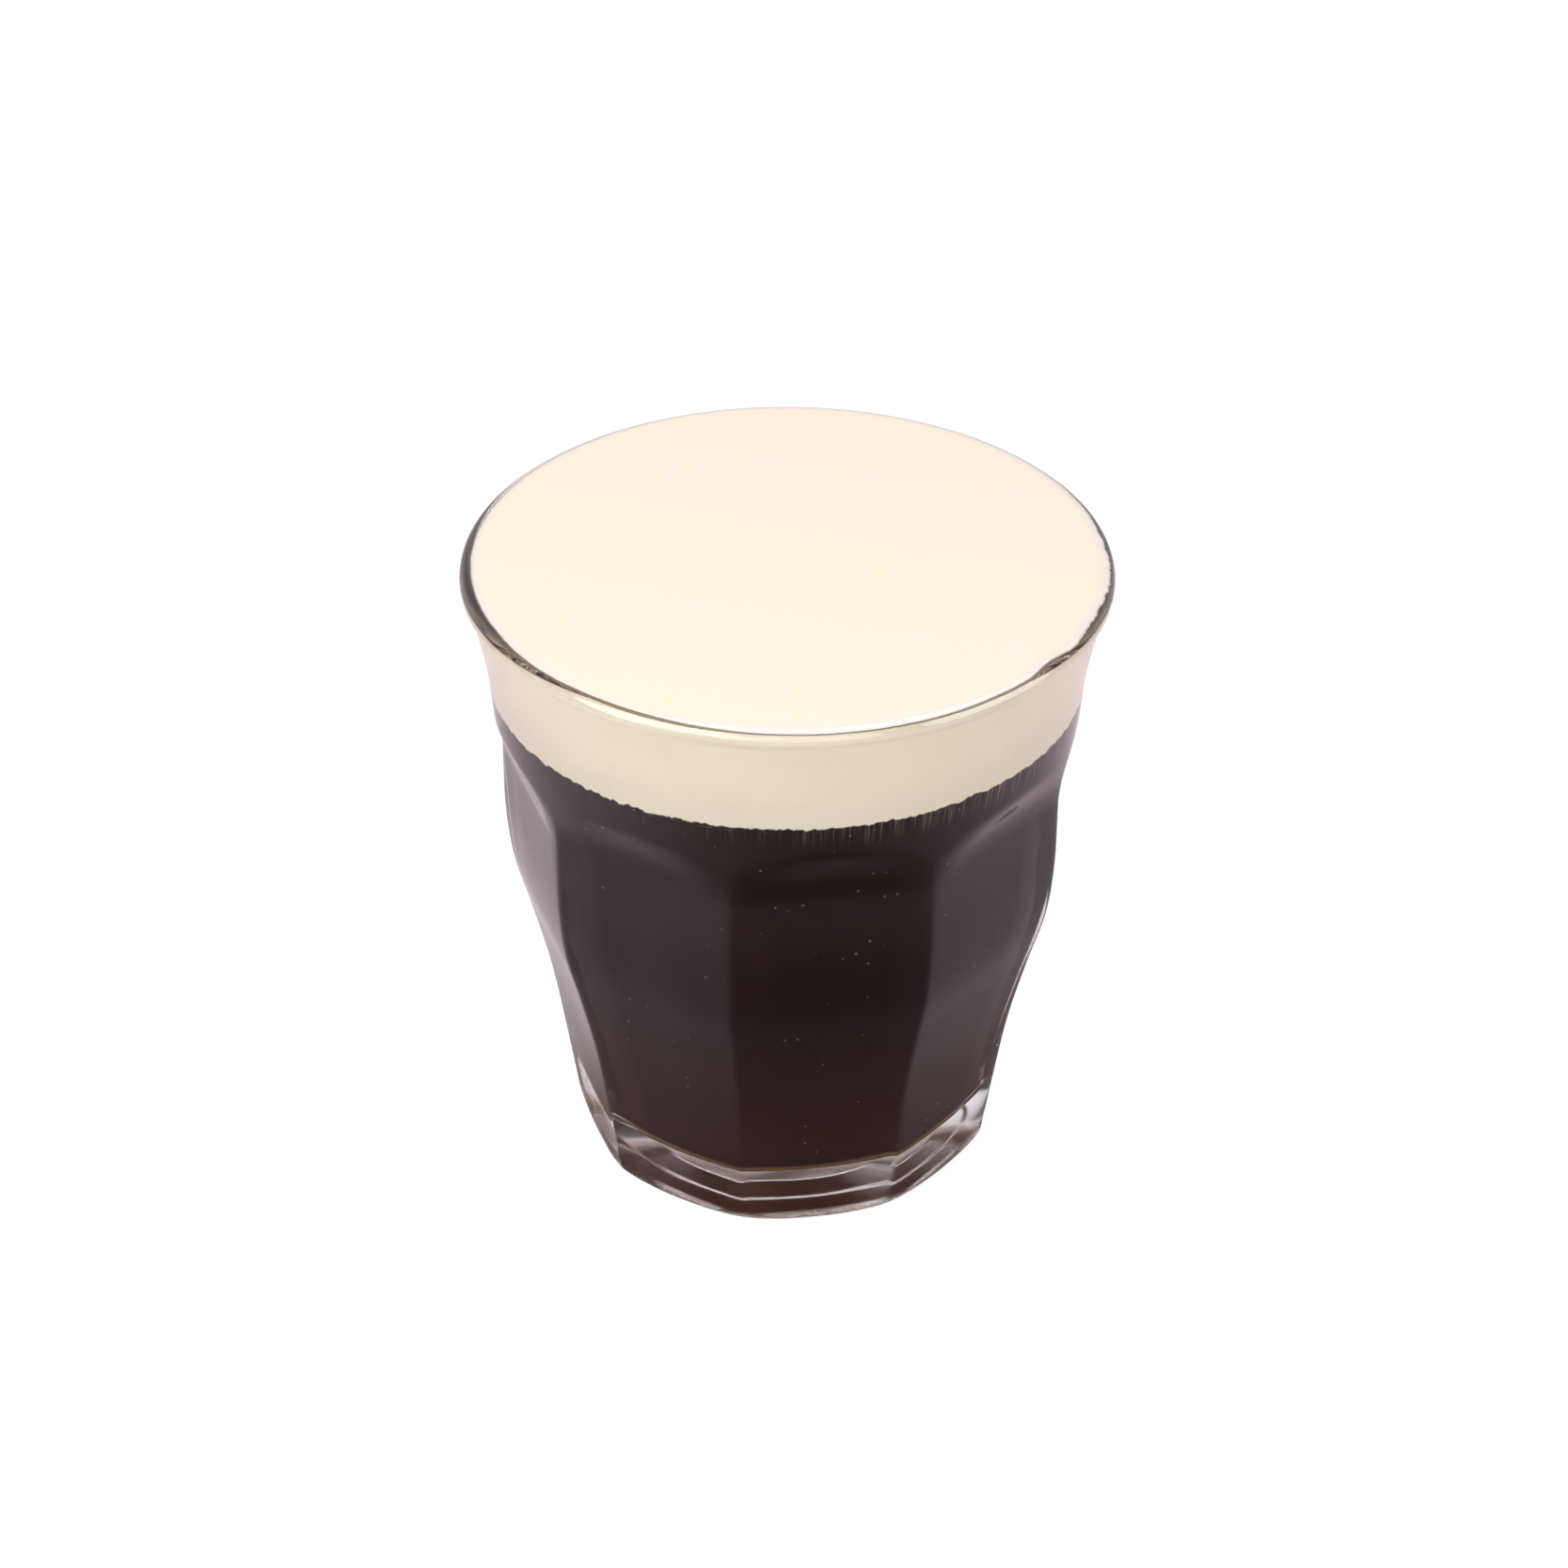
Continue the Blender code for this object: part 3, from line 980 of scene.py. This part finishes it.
# A thin brown line of painted shade along the edge
CREAM_SHADE_LINE = (0.15, 0.108, 0.06)
CREAM_SPECK = (0.86, 0.74, 0.50)
SHEEN_REACH = (0.6, 1.25)
SHEEN_STEP = (0.2, 1.0)
EDGE_SHADE_STEP = (0.1, 0.45)
SHADE_LINE_STEP = (0.7, 1.3)
# Cells a metre, size and share
FLECKS = (190.0, 0.16, 0.4)


def make_cream_finish():
    """The top of the cream: warm but painted a little darker, with painted sheen and shade along
    its edge.
    """
    material, shader = new_material("soft_cream")
    tree = material.node_tree
    where = add_node(tree, "ShaderNodeGroup", node_tree=PLACE_GROUP)
    inward = add_node(tree, "ShaderNodeAttribute", attribute_name="inward").outputs["Fac"]
    line = add_node(tree, "ShaderNodeAttribute", attribute_name="line").outputs["Fac"]
    reach = math_node(tree, "MULTIPLY_ADD", where.outputs["Full Side"], *SHEEN_REACH)
    sheen_band = ramp(tree, math_node(tree, "DIVIDE", inward, reach), *SHEEN_STEP, 1.0, 0.0)
    thin = ramp(tree, inward, *EDGE_SHADE_STEP)
    place = tree.nodes.new("ShaderNodeTexCoord").outputs["Object"]
    flecks = specks(tree, place, *FLECKS)
    colour = mix_colour(tree, flecks, CREAM, CREAM_SPECK)
    # Painted sheen in a band along the edge, painted shade at the very edge
    colour = mix_colour(tree, thin, CREAM_EDGE_SHADE, mix_colour(tree, sheen_band, colour, CREAM_PAINTED_SHEEN))
    # A thin brown line of painted shade along the edge
    edged = mix_colour(tree, ramp(tree, line, *SHADE_LINE_STEP), CREAM_SHADE_LINE, colour)
    tree.links.new(edged, shader.inputs["Base Color"])
    shader.inputs["Roughness"].default_value = 0.35
    shader.inputs["IOR"].default_value = CREAM_IOR
    return material


cream.data.materials.append(make_cream_finish())
print("finish", cream.data.materials[0].name)

# %% [markdown]
# ## Cream against glass
#
# Through the wall the cream looks plain, but where the wet wall mirrors completely, no light
# comes out of the cream, and the lip of a full glass looks dark. A Fresnel node with the index
# of the wet wall finds those places, and there the colour is painted shade, with paler streaks
# of painted reflection. Elsewhere the cream is painted lighter and warmer than its top, to make
# up for the light that the glass holds back. Below the ragged border the same side shows coffee.

# %% Cream finish on glass
# Painted lighter and warmer than the top, to make up for the light that the glass holds back
CREAM_LIT_IN_GLASS = (0.97, 0.88, 0.69)
# Painted shade, and paler painted reflection in streaks, where the wet wall mirrors
MIRRORED_SHADE = (0.018, 0.007, 0.002)
MIRRORED_REFLECTION = (0.105, 0.066, 0.044)
REFLECTION_STREAK_STEP = (0.38, 0.66)
SIDE_SHADE_LINE_STEP = (0.7, 1.5)
EDGE_SOFT = 0.28
STREAK_RISE = 0.06 * MM


def make_cream_side_finish():
    """Cream against glass: where the border mirrors, no light comes out, so shade and streaky
    reflection are painted there.
    """
    material, shader = new_material("soft_cream_on_glass")
    tree = material.node_tree
    streaks = add_node(tree, "ShaderNodeGroup", node_tree=STREAK_GROUP)
    mirror = add_node(tree, "ShaderNodeFresnel")
    mirror.inputs["IOR"].default_value = WET_IOR
    streaked = ramp(tree, streaks.outputs["Streaks"], *REFLECTION_STREAK_STEP)
    painted_mirror = mix_colour(tree, streaked, MIRRORED_SHADE, MIRRORED_REFLECTION)
    # Painted shade and streaky painted reflection where the wet wall mirrors
    colour = mix_colour(tree, mirror.outputs["Fac"], CREAM_LIT_IN_GLASS, painted_mirror)
    line = add_node(tree, "ShaderNodeAttribute", attribute_name="line").outputs["Fac"]
    # The line of painted shade runs on down the side
    colour = mix_colour(tree, ramp(tree, line, *SIDE_SHADE_LINE_STEP), CREAM_SHADE_LINE, colour)
    border = add_node(tree, "ShaderNodeGroup", node_tree=BORDER_GROUP)
    coffee_there = mix_colour(tree, border.outputs["Hairs"], COFFEE_BLACK, COFFEE_HAIR)
    above = ramp(tree, border.outputs["Above"], 0.0, EDGE_SOFT)
    colour = mix_colour(tree, above, coffee_there, colour)
    tree.links.new(colour, shader.inputs["Base Color"])
    shader.inputs["Roughness"].default_value = 0.04
    shader.inputs["IOR"].default_value = WET_IOR
    bump = add_node(tree, "ShaderNodeBump")
    bump.inputs["Strength"].default_value = 1.0
    bump.inputs["Distance"].default_value = STREAK_RISE
    tree.links.new(streaks.outputs["Streaks"], bump.inputs["Height"])
    tree.links.new(bump.outputs["Normal"], shader.inputs["Normal"])
    return material


cream.data.materials.append(make_cream_side_finish())
print("finish", cream.data.materials[1].name)

# %% [markdown]
# ## Riding on the frame
#
# Each piece rides on the one body and stands for its node of the fixed model.

# %% Ride and replace
for piece, node, slot in (
    (tumbler, "glass", "clear_glass"),
    (coffee, "coffee", "black_coffee"),
    (cream, "cream", "soft_cream"),
):
    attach(piece, "root")
    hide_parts(node)
    print(piece.name, "stands for", node)

# %% [markdown]
# ## The table
#
# The photographer's table is white. Only the camera sees it as plain white: the light that the
# glass mirrors comes from a glowing table with painted shade, dim in front, as where a dark
# camera stands over it, and brown under the glass, where the coffee shades it.

# %% Floor
FLOOR_RADIUS = 2.0
FLOOR_SINK = 0.2 * MM
FLOOR_GREY = (0.3, 0.3, 0.3)
FLOOR_GLOW = 0.8
FLOOR_TINT = (1.0, 0.85, 0.90)
# The dark spot and the brown ring are painted shade on the glowing table
FLOOR_SHADE_SPOT = (0.004, -0.072)
FLOOR_SHADE_REACH = 0.17
FLOOR_STRENGTHS = (0.09, 0.88)
FLOOR_SHADOW_BROWN = (0.30, 0.18, 0.08)
FLOOR_SHADOW_RING = (0.024, 0.040)


def make_floor():
    """A wide disc that is white to the camera, and glows with painted shade to all other light."""
    deselect_all()
    bpy.ops.mesh.primitive_circle_add(vertices=96, radius=FLOOR_RADIUS, fill_type="NGON")
    floor = bpy.context.active_object
    floor.name = "floor"
    floor.location.z = -FLOOR_SINK
    material, shader = new_material("pale_floor")
    tree = material.node_tree
    shader.inputs["Base Color"].default_value = (*FLOOR_GREY, 1.0)
    shader.inputs["Roughness"].default_value = 1.0
    shader.inputs["Specular IOR Level"].default_value = 0.0
    shader.inputs["Emission Color"].default_value = (1.0, 1.0, 1.0, 1.0)
    shader.inputs["Emission Strength"].default_value = FLOOR_GLOW
    place = add_node(tree, "ShaderNodeTexCoord").outputs["Object"]
    spot = add_node(tree, "ShaderNodeVectorMath", operation="DISTANCE")
    spot.inputs[1].default_value = (*FLOOR_SHADE_SPOT, 0.0)
    tree.links.new(place, spot.inputs[0])
    middle = add_node(tree, "ShaderNodeVectorMath", operation="LENGTH")
    tree.links.new(place, middle.inputs[0])
    under = ramp(tree, middle.outputs["Value"], *FLOOR_SHADOW_RING)
    # To all light but the camera's, the table glows with painted shade
    seen = add_node(tree, "ShaderNodeEmission")
    tree.links.new(mix_colour(tree, under, FLOOR_SHADOW_BROWN, FLOOR_TINT), seen.inputs["Color"])
    strength = ramp(tree, spot.outputs["Value"], 0.0, FLOOR_SHADE_REACH, *FLOOR_STRENGTHS)
    tree.links.new(strength, seen.inputs["Strength"])
    ray = add_node(tree, "ShaderNodeLightPath")
    mix = add_node(tree, "ShaderNodeMixShader")
    tree.links.new(ray.outputs["Is Camera Ray"], mix.inputs["Fac"])
    tree.links.new(seen.outputs["Emission"], mix.inputs[1])
    tree.links.new(shader.outputs["BSDF"], mix.inputs[2])
    tree.links.new(mix.outputs["Shader"], tree.nodes["Material Output"].inputs["Surface"])
    floor.data.materials.append(material)
    return floor


print("stage:", make_floor().name)

# %% [markdown]
# ## The surround
#
# Clear glass shows what stands round it. Behind and at the sides there is a bright white sweep,
# and in front a dim room. A world that changes with direction gives both without any walls.

# %% Surround
SWEEP_FACING = Vector((0.16, 0.87, 0.47))
SWEEP_TINT = (1.0, 0.94, 0.97)
ROOM_DARK = (0.115, 0.078, 0.072)
SWEEP_RISE = (0.15, 0.75)


def make_world():
    """A surround that is bright behind and dim in front, and white to the camera."""
    world = bpy.data.worlds.new("surround")
    world.use_nodes = True
    tree = world.node_tree
    background = tree.nodes["Background"]
    facing = add_node(tree, "ShaderNodeVectorMath", operation="DOT_PRODUCT")
    facing.inputs[1].default_value = SWEEP_FACING.normalized()
    place = add_node(tree, "ShaderNodeTexCoord")
    tree.links.new(place.outputs["Generated"], facing.inputs[0])
    sweep = ramp(tree, facing.outputs["Value"], *SWEEP_RISE)
    tree.links.new(mix_colour(tree, sweep, ROOM_DARK, SWEEP_TINT), background.inputs["Color"])
    white = add_node(tree, "ShaderNodeBackground")
    white.inputs["Color"].default_value = (1.0, 1.0, 1.0, 1.0)
    ray = add_node(tree, "ShaderNodeLightPath")
    mix = add_node(tree, "ShaderNodeMixShader")
    tree.links.new(ray.outputs["Is Camera Ray"], mix.inputs["Fac"])
    tree.links.new(background.outputs["Background"], mix.inputs[1])
    tree.links.new(white.outputs["Background"], mix.inputs[2])
    tree.links.new(mix.outputs["Shader"], tree.nodes["World Output"].inputs["Surface"])
    bpy.context.scene.world = world
    return world


print("world:", make_world().name)

# %% [markdown]
# ## The lamps
#
# Three large round lamps stand for the photographer's soft boxes. A lamp's power is worked out
# from the brightness of its face, so that it can be made larger without getting brighter. The
# two at the sides are a little cooler than the one in front.

# %% Lamps
LAMP_AIM = Vector((0, 0, 0.05))
# Lamps, as (name, place, size, brightness, colour)
LAMPS = (
    ("key", (-0.60, -0.42, 0.42), 0.8, 5.6, (0.90, 0.95, 1.0)),
    ("front", (-0.10, -0.95, 0.24), 1.0, 3.2, (1.0, 1.0, 1.0)),
    ("fill", (0.80, -0.45, 0.28), 0.9, 4.3, (0.90, 0.95, 1.0)),
)


def add_soft_lamp(name, place, size, radiance, colour):
    """A round lamp that faces the glass, with the same brightness whatever its size."""
    data = bpy.data.lights.new(name, "AREA")
    data.shape = "DISK"
    data.size = size
    data.color = colour
    data.energy = radiance * math.pi * math.pi * size * size / 4
    lamp = bpy.data.objects.new(name, data)
    lamp.location = place
    lamp.rotation_euler = (Vector(place) - LAMP_AIM).to_track_quat("Z", "Y").to_euler()
    bpy.context.scene.collection.objects.link(lamp)


for lamp_values in LAMPS:
    add_soft_lamp(*lamp_values)
print(len(LAMPS), "lamps")

# %% [markdown]
# ## The camera
#
# The camera looks down at the glass from the front, a little from the left, through a long
# lens. Its shift moves the picture without turning the camera, so upright lines keep their
# lean.

# %% Camera
CAMERA_AZIMUTH = math.radians(-9.32)
CAMERA_RISE = math.radians(34.30)
CAMERA_DISTANCE = 532.9 * MM
CAMERA_ROLL = math.radians(0.29)
FRAME_PIXELS = 1667
FOCAL_PIXELS = 4117
AXIS_PIXEL = (835.6, 893.3)
CAMERA_TARGET = Vector((0.0, 0.0, 45.0 * MM))


def make_camera():
    """The camera, aimed at the middle of the glass."""
    data = bpy.data.cameras.new("camera")
    data.sensor_width = 36.0
    data.lens = FOCAL_PIXELS * data.sensor_width / FRAME_PIXELS
    data.shift_x = (FRAME_PIXELS / 2 - AXIS_PIXEL[0]) / FRAME_PIXELS
    data.shift_y = (AXIS_PIXEL[1] - FRAME_PIXELS / 2) / FRAME_PIXELS
    data.clip_start = 0.01
    camera = bpy.data.objects.new("camera", data)
    back = Vector(
        (
            math.sin(CAMERA_AZIMUTH) * math.cos(CAMERA_RISE),
            -math.cos(CAMERA_AZIMUTH) * math.cos(CAMERA_RISE),
            math.sin(CAMERA_RISE),
        )
    )
    camera.location = CAMERA_TARGET + back * CAMERA_DISTANCE
    turn = back.to_track_quat("Z", "Y").to_matrix()
    roll = turn @ Matrix.Rotation(CAMERA_ROLL, 3, "Z")
    camera.rotation_euler = roll.to_euler()
    bpy.context.scene.collection.objects.link(camera)
    bpy.context.scene.camera = camera
    return camera


print("camera at", tuple(round(value, 3) for value in make_camera().location))
bpy.context.scene.view_settings.view_transform = "Standard"
